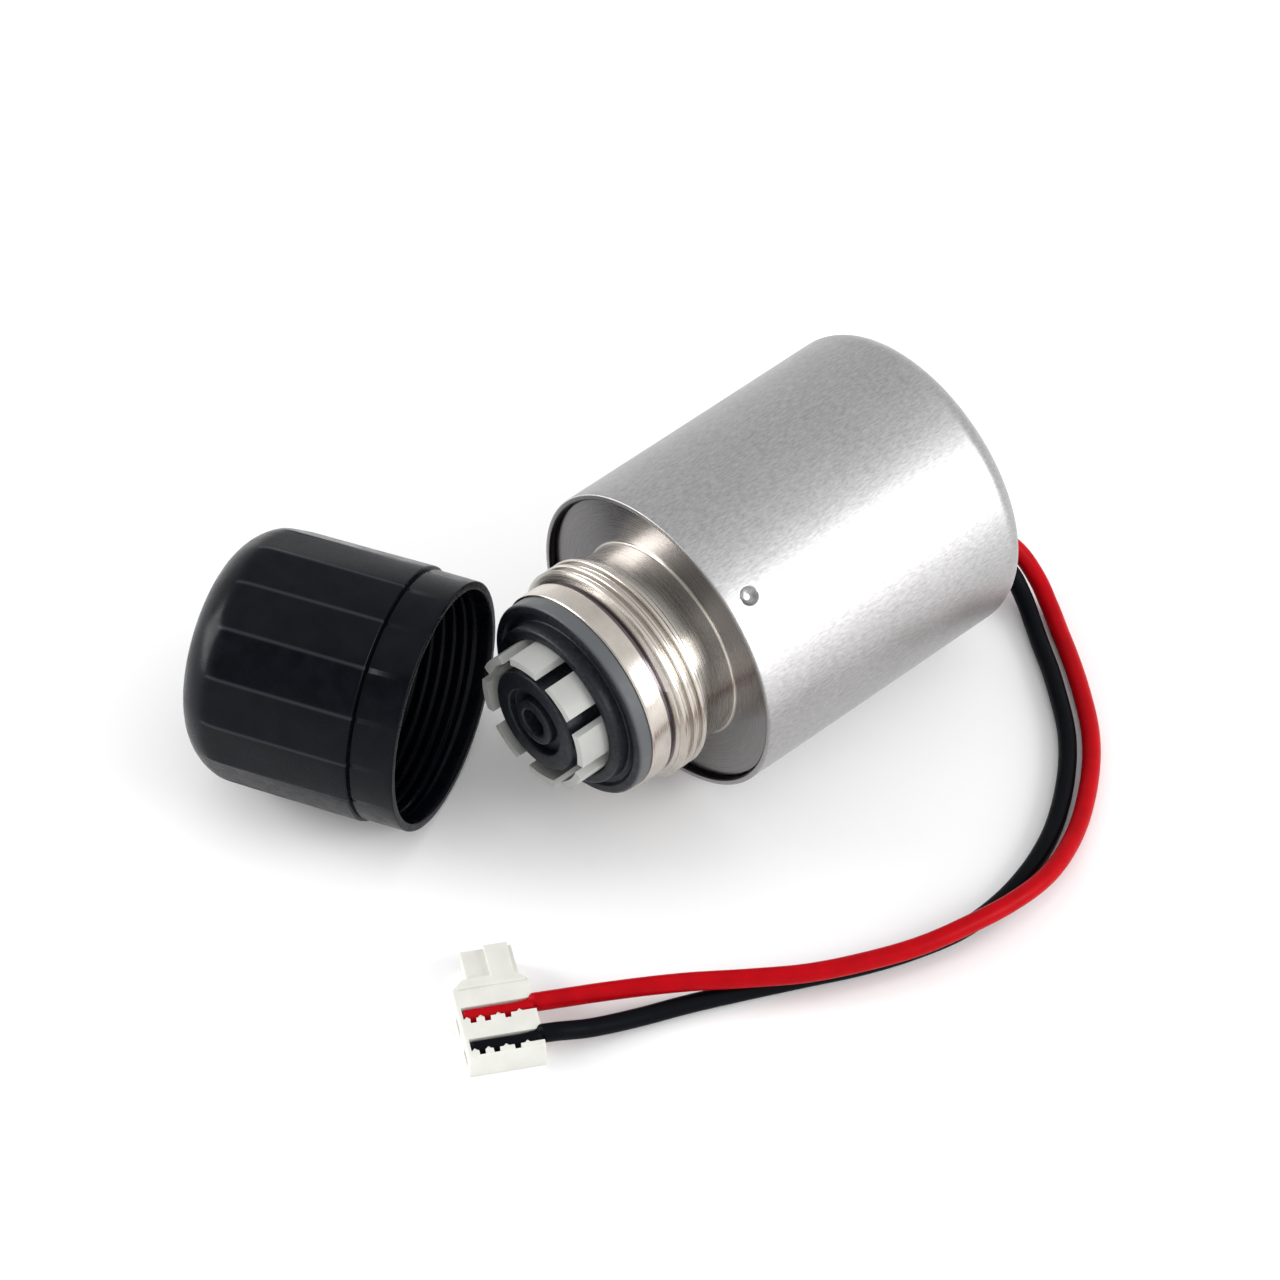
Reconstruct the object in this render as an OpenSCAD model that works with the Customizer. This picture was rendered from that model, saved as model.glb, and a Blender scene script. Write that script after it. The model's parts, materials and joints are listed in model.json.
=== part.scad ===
// Latching solenoid pilot operator: a drawn steel can with a threaded nickel-plated neck,
// a castellated pilot nose, two leads with a 2-way connector, and its loose thread cap.
// It lies on its side. The valve axis is Y, the nose points to -Y, and +Z is up.
// The origin is on the valve axis, in the plane of the seating face behind the thread.

/* [Can] */
// Outer diameter of the can
can_d = 28; // [26:0.5:30]
// Length of the can from its open rim to its closed end
can_len = 30; // [30:0.5:34]
// Wall thickness of the can
can_wall = 0.5; // [0.4:0.1:0.6]
// Outer radius of the rounded corner at the closed end
can_corner = 2.2; // [1.6:0.2:2.6]
// How far the open rim stands in front of the seating face
rim_reach = 0.6; // [0.4:0.1:1]

/* [Neck] */
// Major diameter of the thread
thread_d = 20; // [20:0.1:20.4]
// Length of the thread
thread_len = 2.8; // [2.4:0.2:3.2]
// Diameter of the plain land in front of the thread
land_d = 18.6; // [18.4:0.1:19]
// Length of the neck in front of the seating face
neck_len = 9.3; // [9.3:0.1:9.9]
// Thickness of the disc that closes the can
disc_t = 4; // [3.6:0.2:4]

/* [Nose] */
// Number of teeth round the hub
teeth = 8; // [6:1:10]
// Outer diameter over the teeth
teeth_d = 11.9; // [11.6:0.1:12.2]
// Width of one tooth
tooth_w = 3.2; // [2.6:0.1:3.4]
// Thickness of one tooth, measured towards the axis
tooth_t = 0.7; // [0.5:0.1:0.9]
// How far the teeth reach in front of the seating face
nose_reach = 14.5; // [14:0.1:15]
// Outer diameter of the sealing ring's flange
seal_d = 18.2; // [17.8:0.1:18.6]

/* [Actuator] */
// Stroke of the plunger
stroke = 0.8; // [0.4:0.1:0.8]
// Diameter of the plunger
plunger_d = 9.24; // [9.22:0.01:9.26]
// Running clearance between plunger and guide tube, on the radius
running_gap = 0.08; // [0.06:0.01:0.1]
// Turns of the return spring
spring_turns = 8; // [6:1:10]

/* [Cap] */
// Distance across the flats at the wide end of the cap's grip
cap_flats = 22.3; // [22:0.1:22.6]
// Number of flats round the cap
cap_sides = 16; // [14:1:16]
// Length of the cap
cap_len = 20.7; // [19:0.1:22]
// Draft of the flats, in degrees
cap_draft = 1.2; // [0.8:0.1:1.6]
// Angle of the cap's axis on the floor, from +X towards +Y
cap_turn = 25.5; // [22:0.5:30]

/* [Leads] */
// Outer diameter of each lead's insulation
lead_d = 1.6; // [1.4:0.1:1.6]
// Distance between the two lead channels of the connector
slot_pitch = 3.4; // [3.2:0.1:3.6]

/* [Hidden] */

$fn = 72;
eps = 0.01;

// Levels along the valve axis
rim_y = -rim_reach;
can_end = can_len - rim_reach;
can_in = can_end - can_wall;
neck_y = -neck_len;
thread_back = -3.8;
thread_front = thread_back - thread_len;
pocket_floor = -4;
tube_flange_y = pocket_floor - 0.6;
skirt_y = -5.6;
insert_floor = -8.6;
insert_face = -10.05;
lip_y = -11.8;
hub_y = -nose_reach + 0.15;
seat_tip = -7.05;
insert_seal_y = -7.45;
plunger_front = tube_flange_y - 0.2;
plunger_nose_y = plunger_front - 1.2;
plunger_seal_back = plunger_front - 0.2;
plunger_seal_front = seat_tip + 0.02;
plunger_back = 12.4;
pole_face = plunger_back + stroke + 0.05;
pocket_y = 5.4;
coil_front = disc_t + 0.62;
coil_back = 19.6;
tube_end = 20.3;
magnet_end = tube_end + 4;
plate_end = magnet_end + 1.5;
insulator_end = plate_end + 1.25;

// Radii
can_r = can_d / 2;
can_in_r = can_r - can_wall;
disc_r = can_in_r - 0.05;
collar_r = 9.05;
pocket_r = 7.65;
tube_in_r = plunger_d / 2 + running_gap;
tube_r = tube_in_r + 0.45;
barrel_r = tube_r + 0.85;
winding_r = 11.4;
flange_r = 12.6;
hub_r = 4.75;
port_r = 0.6;
port_circle = 5.5;
first_tooth = 56.4;
gap_turn = first_tooth + 180 / teeth;
spring_r = 2;
spring_wire_r = 0.2;

// Staking dimples that hold the disc in the can
stake_y = 1.67;
stake_turn = 50.9;
stakes = 3;
stake_ball_r = 0.9;

// The lead exit in the closed end, across the axis, as [x, z]
exit_at = [3.9, -7.7];
exit_dir = [0.72, -0.69];
exit_half = 0.85;
grommet_r = 2.3;
red_exit = exit_at - exit_dir * exit_half;
black_exit = exit_at + exit_dir * exit_half;
grommet_face = can_end + 0.6;
red_pin = [0.2, -10.4];
black_pin = [7, -7.8];
pin_r = 0.35;
joint_end = 21.9;

// Floor level, and the connector's place on it
floor_z = -can_r;
plug_at = [14.3, -31.1, floor_z];
plug_turn = 60;
plug_len = 6.4;
plug_w = 8.2;
plug_h = 2.6;
channel_z = 2.1;
channel_r = lead_d / 2 + 0.05;
red_slot = 0.9;
black_slot = red_slot - slot_pitch;
slot_end = -plug_len / 2 + 0.3;

// Cap levels from its closed end, and its place
cap_grip = 16.6;
cap_round = 5;
cap_collar_r = 10.9;
cap_bore_r = 10.1;
cap_bore_start = 5.5;
cap_wall = 1.3;
cap_apothem = cap_flats / 2 - cap_grip * tan(cap_draft);
cap_at = [-26.9, -26, floor_z + cap_apothem * cos(cap_draft)];

// The free leads' routes, from the grommet to the connector
red_route = [
    [red_exit[0], grommet_face, red_exit[1]], [red_exit[0], grommet_face + 0.6, red_exit[1]],
    [3.5, 32.4, -7.3], [4.4, 34.7, -8.3],
    [6.1, 36.2, -10], [8.5, 36.4, -11.8], [11, 35.6, -12.9], [13.6, 34.3, -13.2],
    [16.4, 32.8, -13.2], [19.9, 30.7, -13.2], [24.2, 27.6, -13.2], [28.5, 22.9, -13.1],
    [31.6, 18, -12.8], [33.4, 13.2, -12.2], [33.8, 8.6, -11.7], [33.3, 4.4, -11.55],
    [32.2, -0.4, -11.55], [30.4, -4.9, -11.55], [28.2, -9.2, -11.5], [25.2, -13.4, -11.5],
    [22.1, -17.3, -11.6], [18.6, -22.1, -11.9], [16.3, -25.8, -11.95], plug_point(red_slot, 0.5),
    plug_point(red_slot, 0)];
black_route = [
    [black_exit[0], grommet_face, black_exit[1]], [black_exit[0], grommet_face + 0.6, black_exit[1]],
    [4.75, 31.9, -8.5], [5.6, 33.6, -9.4],
    [7.2, 34.5, -10.9], [9.2, 34.2, -12.3], [11.4, 33.2, -13.05], [13.6, 32, -13.2],
    [16, 30.7, -13.2], [18.6, 29.1, -13.2], [22.7, 26.2, -13.2], [26.9, 21.7, -13.2],
    [29.9, 17, -13.2], [31.5, 12.8, -13.2], [32.3, 8.6, -13.2], [32.3, 4.4, -13.2],
    [31.2, -0.2, -13.2], [29.6, -4.4, -13.2], [27.5, -8.6, -13.2], [25.1, -13.4, -13.2],
    [23, -17.8, -13.2], [21.2, -22.2, -13.1], [19.8, -25.9, -12.6], plug_point(black_slot, 0.5),
    plug_point(black_slot, 0)];

// The same leads inside the can, from the solder joints through the grommet
red_tail = [
    [red_pin[0], joint_end, red_pin[1]], [red_pin[0], joint_end + 0.3, red_pin[1]],
    [0.5, 22.6, -10.1], [1.5, 23.1, -9], [2.7, 23.7, -7.8],
    [red_exit[0], 24.5, red_exit[1]], [red_exit[0], 27, red_exit[1]],
    [red_exit[0], grommet_face - eps, red_exit[1]]];
black_tail = [
    [black_pin[0], joint_end, black_pin[1]], [black_pin[0], joint_end + 0.3, black_pin[1]],
    [6.8, 22.6, -7.8], [6, 23.1, -7.95],
    [5, 23.8, -8.2], [black_exit[0], 24.6, black_exit[1]], [black_exit[0], 27, black_exit[1]],
    [black_exit[0], grommet_face - eps, black_exit[1]]];

// A point on a lead channel's axis, out in front of the connector by 'ahead'
function plug_point(slot, ahead) =
    let (along = plug_len / 2 + ahead)
    [plug_at[0] + along * cos(plug_turn) - slot * sin(plug_turn),
     plug_at[1] + along * sin(plug_turn) + slot * cos(plug_turn),
     floor_z + channel_z];

function unit(v) = v / norm(v);

// Direction of a route at point i
function heading(route, i) =
    unit(route[min(i + 1, len(route) - 1)] - route[max(i - 1, 0)]);

// One ring of a swept tube
function tube_ring(route, i, r, sides) =
    let (ahead = heading(route, i),
         side = unit(cross(ahead, [0, 0, 1])),
         up = cross(side, ahead))
    [for (k = [0 : sides - 1])
        let (a = 360 * (k + 0.5) / sides) route[i] + r * (cos(a) * side + sin(a) * up)];

// Corners of an arc in the plane of a lathe profile
function arc(cx, cy, r, a0, a1, steps = 6) =
    [for (k = [0 : steps]) let (a = a0 + (a1 - a0) * k / steps) [cx + r * cos(a), cy + r * sin(a)]];

// Round tube swept along a route, flat at both ends
module swept_tube(route, r, sides = 8) {
    n = len(route);
    points = [for (i = [0 : n - 1]) each tube_ring(route, i, r, sides)];
    walls = [for (i = [0 : n - 2], k = [0 : sides - 1])
        let (a = i * sides + k, b = i * sides + (k + 1) % sides) [a, b, b + sides, a + sides]];
    start_cap = [for (k = [sides - 1 : -1 : 0]) k];
    end_cap = [for (k = [0 : sides - 1]) (n - 1) * sides + k];
    polyhedron(points = points, faces = concat(walls, [start_cap, end_cap]), convexity = 8);
}

// Solid turned about the valve axis from [radius, y] corners
module turned(corners) {
    rotate([-90, 0, 0])
        rotate_extrude($fn = 96)
            polygon(corners);
}

// Cylinder along the valve axis between two levels
module bar(r, y0, y1, x = 0, z = 0) {
    translate([x, y0, z])
        rotate([-90, 0, 0])
            cylinder(h = y1 - y0, r = r);
}

// Ring along the valve axis between two levels
module sleeve(r_out, r_in, y0, y1) {
    difference() {
        bar(r_out, y0, y1);
        bar(r_in, y0 - eps, y1 + eps);
    }
}

// Round ring of circular section about the valve axis
module o_ring(r, section_r, y) {
    rotate([-90, 0, 0])
        translate([0, 0, y])
            rotate_extrude($fn = 72)
                translate([r, 0])
                    circle(r = section_r, $fn = 24);
}

// Children repeated round the valve axis
module around(count, start = 0) {
    for (k = [0 : count - 1])
        rotate([0, -(start + k * 360 / count), 0])
            children();
}

// ---- Can and base ----

module can() {
    inner_corner = can_corner - can_wall;
    flat_r = can_r - can_corner;
    color("silver")
    difference() {
        union() {
            turned(concat(
                [[can_in_r, rim_y], [can_r - 0.12, rim_y], [can_r, rim_y + 0.12]],
                arc(flat_r, can_end - can_corner, can_corner, 0, 90),
                [[0, can_end], [0, can_in]],
                arc(flat_r, can_in - inner_corner, inner_corner, 90, 0)));
            around(stakes, stake_turn)
                intersection() {
                    translate([can_r + 0.3, stake_y, 0])
                        sphere(r = stake_ball_r + 0.45, $fn = 32);
                    translate([can_r - 2, stake_y, 0])
                        rotate([0, 90, 0])
                            cylinder(h = 1.8, r = 2);
                }
        }
        around(stakes, stake_turn)
            translate([can_r + 0.35, stake_y, 0])
                sphere(r = stake_ball_r, $fn = 32);
        bar(grommet_r, can_in - 1, can_end + 1, exit_at[0], exit_at[1]);
    }
}

module threaded_base() {
    thread_r = thread_d / 2;
    land_r = land_d / 2;
    color("lightgray")
    turned([[pocket_r, neck_y], [land_r - 0.25, neck_y], [land_r, neck_y + 0.25],
        [land_r, thread_front - 0.3], [thread_r, thread_front], [thread_r, thread_back],
        [collar_r, thread_back + 0.3], [collar_r, -0.25], [collar_r + 0.25, 0],
        [disc_r - 0.25, 0], [disc_r, 0.25], [disc_r, stake_y - 1.12],
        [disc_r - 0.6, stake_y - 1.12], [disc_r - 0.6, stake_y + 1.13],
        [disc_r, stake_y + 1.13], [disc_r, disc_t], [tube_r + 0.05, disc_t],
        [tube_r + 0.05, pocket_floor], [pocket_r, pocket_floor]]);
}

// ---- Nose ----

module guide_tube() {
    color("gainsboro")
    union() {
        sleeve(tube_r, tube_in_r, tube_flange_y, tube_end);
        sleeve(pocket_r - 0.35, tube_in_r, tube_flange_y, pocket_floor);
    }
}

module tube_o_ring() {
    color("dimgray")
    o_ring(6.75, 0.5, tube_flange_y - 0.5);
}

module seat_insert() {
    skirt_in = 6.1;
    nozzle_r = 2.2;
    groove_r = 3;
    color([0.1, 0.1, 0.12])
    difference() {
        turned([[port_r, hub_y + 1.2], [1.2, hub_y + 1.2], [1.2, -nose_reach],
            [nozzle_r - 0.2, -nose_reach], [nozzle_r, -nose_reach + 0.2], [nozzle_r, hub_y + 0.7],
            [groove_r, hub_y + 0.7], [groove_r, hub_y], [hub_r - 0.3, hub_y], [hub_r, hub_y + 0.3],
            [hub_r, insert_face], [pocket_r - 0.05, insert_face],
            [pocket_r - 0.05, insert_seal_y - 0.55], [pocket_r - 0.75, insert_seal_y - 0.55],
            [pocket_r - 0.75, insert_seal_y + 0.55], [pocket_r - 0.05, insert_seal_y + 0.55],
            [pocket_r - 0.05, skirt_y], [skirt_in, skirt_y], [skirt_in, insert_floor],
            [1.9, insert_floor], [0.95, seat_tip], [port_r, seat_tip]]);
        around(teeth, gap_turn)
            bar(0.45, insert_face - 1, insert_floor + 1, port_circle, 0);
    }
}

module insert_o_ring() {
    color("dimgray")
    o_ring(pocket_r - 0.4, 0.34, insert_seal_y);
}

module tooth_cage() {
    ring_r = 6.3;
    ring_in_r = hub_r + 0.08;
    tooth_in_r = teeth_d / 2 - tooth_t;
    tooth_back = -10.6;
    color([0.78, 0.78, 0.76])
    difference() {
        union() {
            sleeve(ring_r, ring_in_r, tooth_back, insert_face - 0.02);
            intersection() {
                sleeve(teeth_d / 2, tooth_in_r, -nose_reach, tooth_back + eps);
                around(teeth, first_tooth)
                    translate([hub_r - 1, -nose_reach - 1, -tooth_w / 2])
                        cube([3, nose_reach, tooth_w]);
            }
        }
        around(teeth, gap_turn)
            bar(0.5, tooth_back - 1, insert_face + 1, port_circle, 0);
    }
}

module sealing_ring() {
    seal_r = seal_d / 2;
    bore_r = 6.35;
    lip_r = 7.4;
    edge = 0.45;
    face_y = -10.65;
    color([0.12, 0.13, 0.15])
    turned(concat(
        [[pocket_r, neck_y], [pocket_r, insert_face], [bore_r, insert_face]],
        arc(bore_r + 0.3, lip_y + 0.3, 0.3, 180, 270, 4),
        arc(lip_r - 0.3, lip_y + 0.3, 0.3, 270, 360, 4),
        [[lip_r, face_y + 0.25], [lip_r + 0.5, face_y + 0.25], [lip_r + 0.7, face_y]],
        arc(seal_r - edge, face_y + edge, edge, 270, 360, 5),
        [[seal_r, neck_y]]));
}

// ---- Moving plunger ----

module plunger() {
    color("gray")
    difference() {
        turned([[0, plunger_seal_back], [2.1, plunger_seal_back], [2.1, plunger_nose_y],
            [2.8, plunger_nose_y], [3, plunger_nose_y + 0.2], [3, plunger_front],
            [plunger_d / 2 - 0.2, plunger_front], [plunger_d / 2, plunger_front + 0.2],
            [plunger_d / 2, plunger_back - 0.3], [plunger_d / 2 - 0.3, plunger_back],
            [2.6, plunger_back], [2.6, pocket_y], [0, pocket_y]]);
        around(2, 90)
            translate([plunger_d / 2, plunger_front - 1, 0])
                rotate([-90, 0, 0])
                    cylinder(h = 20, r = 0.45, $fn = 24);
    }
}

module plunger_seal() {
    seal_r = 2.05;
    edge = 0.15;
    color([0.15, 0.15, 0.15])
    turned([[0, plunger_seal_front], [seal_r - edge, plunger_seal_front],
        [seal_r, plunger_seal_front + edge], [seal_r, plunger_seal_back - 0.02],
        [0, plunger_seal_back - 0.02]]);
}

module return_spring() {
    start_y = pocket_y + spring_wire_r + 0.02;
    end_y = pole_face - spring_wire_r - 0.02;
    steps = 14;
    count = spring_turns * steps;
    route = [for (i = [0 : count])
        let (a = 360 * i / steps, y = start_y + (end_y - start_y) * i / count)
        [spring_r * cos(a), y, spring_r * sin(a)]];
    sides = 6;
    rings = [for (i = [0 : count])
        let (a = 360 * i / steps, out = [cos(a), 0, sin(a)])
        for (k = [0 : sides - 1])
            let (b = 360 * k / sides)
            route[i] + spring_wire_r * (cos(b) * out + sin(b) * [0, 1, 0])];
    walls = [for (i = [0 : count - 1], k = [0 : sides - 1])
        let (a = i * sides + k, b = i * sides + (k + 1) % sides) [a, a + sides, b + sides, b]];
    color("slategray")
    polyhedron(points = rings,
        faces = concat(walls, [[for (k = [0 : sides - 1]) k]],
            [[for (k = [sides - 1 : -1 : 0]) count * sides + k]]),
        convexity = 12);
}

module pole_piece() {
    color("gray")
    turned([[0, pole_face - 1], [1.2, pole_face - 1], [1.4, pole_face - 0.8], [1.4, pole_face],
        [tube_in_r - 0.05, pole_face], [tube_in_r - 0.05, tube_end], [0, tube_end]]);
}

// ---- Coil ----

module cushion_washer() {
    color([0.2, 0.2, 0.2])
    sleeve(flange_r - 0.4, tube_r + 0.3, disc_t + 0.02, coil_front - 0.02);
}

module bobbin() {
    color([0.85, 0.82, 0.7])
    difference() {
        turned([[tube_r + 0.05, coil_front], [flange_r, coil_front], [flange_r, coil_front + 0.9],
            [barrel_r, coil_front + 0.9], [barrel_r, coil_back - 1.2], [flange_r, coil_back - 1.2],
            [flange_r, coil_back], [tube_r + 0.05, coil_back]]);
        bar(pin_r + 0.02, coil_back - 1, coil_back + 1, red_pin[0], red_pin[1]);
        bar(pin_r + 0.02, coil_back - 1, coil_back + 1, black_pin[0], black_pin[1]);
    }
}

module winding() {
    color([0.72, 0.42, 0.2])
    sleeve(winding_r, barrel_r + 0.02, coil_front + 0.92, coil_back - 1.22);
}

module coil_tape() {
    color([0.85, 0.7, 0.2])
    sleeve(winding_r + 0.3, winding_r + 0.02, coil_front + 0.92, coil_back - 1.22);
}

module terminal_pins() {
    color("gold")
    for (at = [red_pin, black_pin])
        bar(pin_r, coil_back - 0.98, joint_end - 0.5, at[0], at[1]);
}

module solder_joints() {
    color("silver")
    for (at = [red_pin, black_pin])
        difference() {
            bar(0.75, joint_end - 1.4, joint_end, at[0], at[1]);
            bar(pin_r + eps, joint_end - 2, joint_end - 0.49, at[0], at[1]);
        }
}

module latching_magnet() {
    color([0.25, 0.25, 0.27])
    bar(5.5, tube_end + 0.02, magnet_end);
}

module magnet_spacer() {
    color([0.3, 0.3, 0.32])
    sleeve(6.9, 5.55, coil_back + 0.05, magnet_end);
}

module rear_pole_plate() {
    color("darkgray")
    difference() {
        bar(can_in_r - 0.08, magnet_end + 0.02, plate_end);
        bar(grommet_r, magnet_end - 1, plate_end + 1, exit_at[0], exit_at[1]);
    }
}

module rear_insulator() {
    color([0.15, 0.15, 0.16])
    difference() {
        union() {
            bar(can_in_r - 0.2, plate_end + 0.02, insulator_end);
            bar(5, insulator_end - eps, can_in - 0.02);
        }
        bar(grommet_r - 0.1, plate_end - 1, insulator_end + 1, exit_at[0], exit_at[1]);
    }
}

// ---- Leads and connector ----

module lead_grommet() {
    flange_r2 = grommet_r + 0.4;
    color([0.1, 0.1, 0.1])
    difference() {
        union() {
            bar(flange_r2, can_end, grommet_face, exit_at[0], exit_at[1]);
            bar(grommet_r - 0.02, can_in - 0.1, can_end + 0.1, exit_at[0], exit_at[1]);
            bar(flange_r2, can_in - 0.7, can_in, exit_at[0], exit_at[1]);
        }
        for (at = [red_exit, black_exit])
            bar(lead_d / 2 + 0.02, can_in - 2, grommet_face + 1, at[0], at[1]);
    }
}

module red_lead_tail() {
    color([0.8, 0.05, 0.07])
    swept_tube(red_tail, lead_d / 2);
}

module black_lead_tail() {
    color([0.05, 0.05, 0.06])
    swept_tube(black_tail, lead_d / 2);
}

module red_lead() {
    color([0.8, 0.05, 0.07])
    swept_tube(concat(red_route, [channel_end(red_slot)]), lead_d / 2);
}

module black_lead() {
    color([0.05, 0.05, 0.06])
    swept_tube(concat(black_route, [channel_end(black_slot)]), lead_d / 2);
}

// Where a lead is cut off inside its channel
function channel_end(slot) = plug_point(slot, slot_end - plug_len / 2);

module plug_place() {
    translate(plug_at)
        rotate([0, 0, plug_turn])
            children();
}

module connector_housing() {
    tab_len = 4.3;
    tab_w = 3.1;
    tab_h = 1.8;
    cavity_w = 1.5;
    color([0.93, 0.92, 0.87])
    plug_place()
        difference() {
            union() {
                translate([-plug_len / 2, -plug_w / 2, 0])
                    cube([plug_len, plug_w, plug_h]);
                translate([-1.75, plug_w / 2 - eps, 0])
                    cube([tab_len, tab_w + eps, tab_h]);
                translate([-0.3, plug_w / 2 - eps, 0])
                    cube([tab_len - 1.9, tab_w - 0.9, plug_h]);
            }
            for (slot = [red_slot, black_slot]) {
                translate([slot_end - 0.05, slot, channel_z])
                    rotate([0, 90, 0])
                        cylinder(h = plug_len, r = channel_r);
                translate([slot_end - 0.05, slot - channel_r, channel_z])
                    cube([plug_len, 2 * channel_r, plug_h]);
                translate([-plug_len / 2 - 1, slot - cavity_w / 2, 0.3])
                    cube([plug_len - 0.4, cavity_w, 0.7]);
            }
        }
}

module connector_contacts() {
    contact_w = 1.3;
    color("goldenrod")
    plug_place()
        for (slot = [red_slot, black_slot])
            translate([-plug_len / 2 + 0.6, slot - contact_w / 2, 0.45])
                cube([plug_len - 2.2, contact_w, 0.4]);
}

// ---- Thread cap ----

module thread_cap() {
    outer_r = cap_flats / 2 / cos(180 / cap_sides) + 0.1;
    end_r = outer_r - 0.3;
    inner_end_r = cap_bore_r - 1.3;
    color([0.06, 0.06, 0.07])
    translate(cap_at)
        rotate([0, -cap_draft, cap_turn])
            rotate([0, 90, 0])
                difference() {
                    rotate_extrude($fn = 96)
                        polygon(concat(
                            [[0, 0]],
                            arc(end_r - cap_round, cap_round, cap_round, -90, 0, 8),
                            [[outer_r, cap_grip], [cap_collar_r, cap_grip],
                            [cap_collar_r, cap_len - 0.2], [cap_collar_r - 0.2, cap_len],
                            [cap_bore_r, cap_len], [cap_bore_r, cap_bore_start]],
                            [[inner_end_r, cap_bore_start - 1.4]],
                            arc(inner_end_r - 2, cap_wall + 2, 2, 0, -90, 4),
                            [[0, cap_wall]]));
                    for (k = [0 : cap_sides - 1])
                        rotate([0, 0, k * 360 / cap_sides])
                            translate([cap_apothem, 0, 0])
                                rotate([0, cap_draft, 0])
                                    translate([0, -5, -1])
                                        cube([4, 10, cap_grip + 2]);
                }
}

can();
threaded_base();
guide_tube();
tube_o_ring();
seat_insert();
insert_o_ring();
tooth_cage();
sealing_ring();
plunger();
plunger_seal();
return_spring();
pole_piece();
cushion_washer();
bobbin();
winding();
coil_tape();
terminal_pins();
solder_joints();
latching_magnet();
magnet_spacer();
rear_pole_plate();
rear_insulator();
red_lead_tail();
black_lead_tail();
lead_grommet();
red_lead();
black_lead();
connector_housing();
connector_contacts();
thread_cap();
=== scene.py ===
import json
from math import atan2, ceil, cos, hypot, pi, radians, sin, sqrt, tan, tau

import bmesh
import bpy
from mathutils import Matrix, Vector


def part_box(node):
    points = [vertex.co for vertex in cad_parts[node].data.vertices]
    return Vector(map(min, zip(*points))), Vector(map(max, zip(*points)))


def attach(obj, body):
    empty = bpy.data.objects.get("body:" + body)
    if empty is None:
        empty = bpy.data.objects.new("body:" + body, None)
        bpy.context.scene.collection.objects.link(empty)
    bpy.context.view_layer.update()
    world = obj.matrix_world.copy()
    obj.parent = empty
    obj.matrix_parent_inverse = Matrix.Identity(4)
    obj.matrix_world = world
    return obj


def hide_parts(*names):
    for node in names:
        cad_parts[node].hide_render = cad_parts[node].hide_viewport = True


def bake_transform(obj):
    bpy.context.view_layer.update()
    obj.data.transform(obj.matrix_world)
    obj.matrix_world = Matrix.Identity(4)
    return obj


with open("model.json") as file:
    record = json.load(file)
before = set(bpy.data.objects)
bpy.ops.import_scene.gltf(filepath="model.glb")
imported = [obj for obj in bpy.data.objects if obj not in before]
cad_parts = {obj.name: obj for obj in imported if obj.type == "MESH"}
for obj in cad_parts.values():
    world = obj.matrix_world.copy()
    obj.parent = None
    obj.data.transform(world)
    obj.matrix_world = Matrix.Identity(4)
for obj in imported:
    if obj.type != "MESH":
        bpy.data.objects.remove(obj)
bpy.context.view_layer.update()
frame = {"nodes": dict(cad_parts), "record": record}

MM = 0.001

# ---- Sizes, in millimetres, from the frame --------------------------------------------------------


def corner_mm(node, end):
    """Lowest (0) or highest (1) corner of a CAD node, in millimetres."""
    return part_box(node)[end] / MM


floor_z = corner_mm("can", 0).z
can_r = corner_mm("can", 1).z
rim_y = corner_mm("can", 0).y
can_end = corner_mm("can", 1).y
can_wall = 0.5
wall_in = can_r - can_wall
disc_r = corner_mm("threaded_base", 1).z
disc_back = corner_mm("threaded_base", 1).y
neck_y = corner_mm("threaded_base", 0).y
seal_r = corner_mm("sealing_ring", 1).z
lip_y = corner_mm("sealing_ring", 0).y
nose_y = corner_mm("tooth_cage", 0).y
cage_back = corner_mm("tooth_cage", 1).y
teeth_r = corner_mm("tooth_cage", 1).x
grommet_face = corner_mm("lead_grommet", 1).y

land_r, thread_r, thread_root, relief_r = 9.3, 9.98, 9.5, 8.95
thread_back, thread_front, pitch = -3.8, -6.6, 1.0
relief_front, relief_back = thread_front - 0.65, thread_front - 0.12
collar_r = 9.05

# ---- Camera -----------------------------------------------------------------------------------------

camera_at = Vector((286.8, -262.0, 417.0)) * MM
camera_aim = Vector((-0.5052, 0.4572, -0.7320))
camera_data = bpy.data.cameras.new("camera")
camera_data.sensor_width = 36
camera_data.lens = 190.97
camera_data.clip_start = 0.01
camera_data.clip_end = 20
camera = bpy.data.objects.new("camera", camera_data)
camera.location = camera_at
camera.rotation_mode = "QUATERNION"
camera.rotation_quaternion = camera_aim.to_track_quat("-Z", "Y")
bpy.context.scene.collection.objects.link(camera)
bpy.context.scene.camera = camera

# ---- Mesh helpers -----------------------------------------------------------------------------------


def smin(a, b, soft):
    """The smaller of two numbers, with the change from one to the other rounded over 'soft'."""
    h = max(soft - abs(a - b), 0) / soft
    return min(a, b) - h * h * soft / 4


def clamped(value):
    """A number kept between 0 and 1."""
    return min(max(value, 0), 1)


def rounded(corners, steps=4):
    """A closed outline from (a, b) or (a, b, radius) corners, each radius turned into a short curve."""
    outline = []
    for i, corner in enumerate(corners):
        here = Vector(corner[:2])
        if len(corner) == 2:
            outline.append(here)
            continue
        back = Vector(corners[i - 1][:2]) - here
        ahead = Vector(corners[(i + 1) % len(corners)][:2]) - here
        reach = min(corner[2] / tan(back.angle(ahead) / 2), 0.49 * back.length, 0.49 * ahead.length)
        start = here + back.normalized() * reach
        end = here + ahead.normalized() * reach
        for k in range(steps + 1):
            t = k / steps
            outline.append(start.lerp(here, t).lerp(here.lerp(end, t), t))
    return outline


def even_turn(count):
    """Angles all round, evenly spaced."""
    return [tau * k / count for k in range(count)]


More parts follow.
